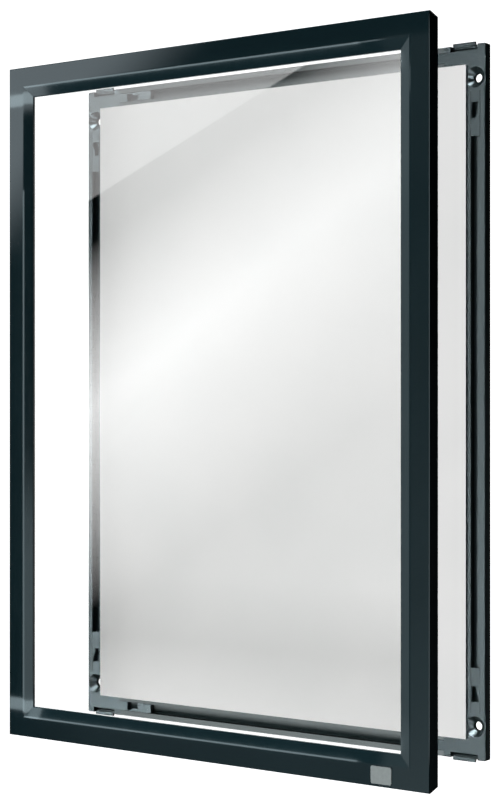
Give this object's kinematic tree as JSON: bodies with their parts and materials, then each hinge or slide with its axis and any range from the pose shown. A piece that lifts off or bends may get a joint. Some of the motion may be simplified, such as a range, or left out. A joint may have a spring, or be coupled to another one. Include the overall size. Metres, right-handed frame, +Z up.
{
  "type": "snap frame",
  "caption": "Wall-mounted snap frame for an A4 sheet: a dark one-piece bezel with a clear cover pulls off a rear frame of channel rails, corner blocks, sprung catches and a white panel.",
  "frame": {"origin": "middle of the four wall screw holes, on the wall plane at the back of the rear frame", "axes": "+X to the viewer's right, +Y into the wall, +Z up; the viewer stands on the -Y side"},
  "size_m": [0.2356, 0.0595, 0.3236],
  "materials": {
    "bezel_plastic": "dark charcoal moulded plastic, fine satin texture",
    "rail_plastic": "dark grey extruded plastic, satin",
    "corner_plastic": "dark grey moulded plastic, satin",
    "finger_plastic": "dark grey moulded plastic, satin",
    "white_panel": "white board, smooth matte",
    "clear_cover": "clear polished sheet",
    "tape": "double-sided adhesive tape"
  },
  "bodies": {
    "rear_frame": {"rail_top": "rail_plastic", "rail_bottom": "rail_plastic", "rail_right": "rail_plastic", "rail_left": "rail_plastic", "corner_top_right": "corner_plastic", "corner_top_left": "corner_plastic", "corner_bottom_right": "corner_plastic", "corner_bottom_left": "corner_plastic", "white_panel": "white_panel", "panel_tape_right": "tape", "panel_tape_left": "tape"},
    "front_frame": {"front_bezel": "bezel_plastic", "clear_cover": "clear_cover", "cover_tape_top": "tape", "cover_tape_bottom": "tape", "cover_tape_right": "tape", "cover_tape_left": "tape"},
    "finger_top_right": {"snap_finger_top_right": "finger_plastic"},
    "finger_top_left": {"snap_finger_top_left": "finger_plastic"},
    "finger_bottom_right": {"snap_finger_bottom_right": "finger_plastic"},
    "finger_bottom_left": {"snap_finger_bottom_left": "finger_plastic"}
  },
  "joints": [
    {"name": "front_pull_off", "type": "slide", "parent": "rear_frame", "child": "front_frame", "axis": [0, -1, 0], "range_m": [-0.04955, 0]},
    {"name": "finger_top_right_flex", "type": "hinge", "parent": "rear_frame", "child": "finger_top_right", "pos_m": [0.10335, -0.00165, 0.15665], "axis": [1, 0, 0], "range_deg": [0, 12], "stiffness_Nm_per_rad": 0.02},
    {"name": "finger_top_left_flex", "type": "hinge", "parent": "rear_frame", "child": "finger_top_left", "pos_m": [-0.10335, -0.00165, 0.15665], "axis": [1, 0, 0], "range_deg": [0, 12], "stiffness_Nm_per_rad": 0.02},
    {"name": "finger_bottom_right_flex", "type": "hinge", "parent": "rear_frame", "child": "finger_bottom_right", "pos_m": [0.10335, -0.00165, -0.15665], "axis": [-1, 0, 0], "range_deg": [0, 12], "stiffness_Nm_per_rad": 0.02},
    {"name": "finger_bottom_left_flex", "type": "hinge", "parent": "rear_frame", "child": "finger_bottom_left", "pos_m": [-0.10335, -0.00165, -0.15665], "axis": [-1, 0, 0], "range_deg": [0, 12], "stiffness_Nm_per_rad": 0.02}
  ]
}
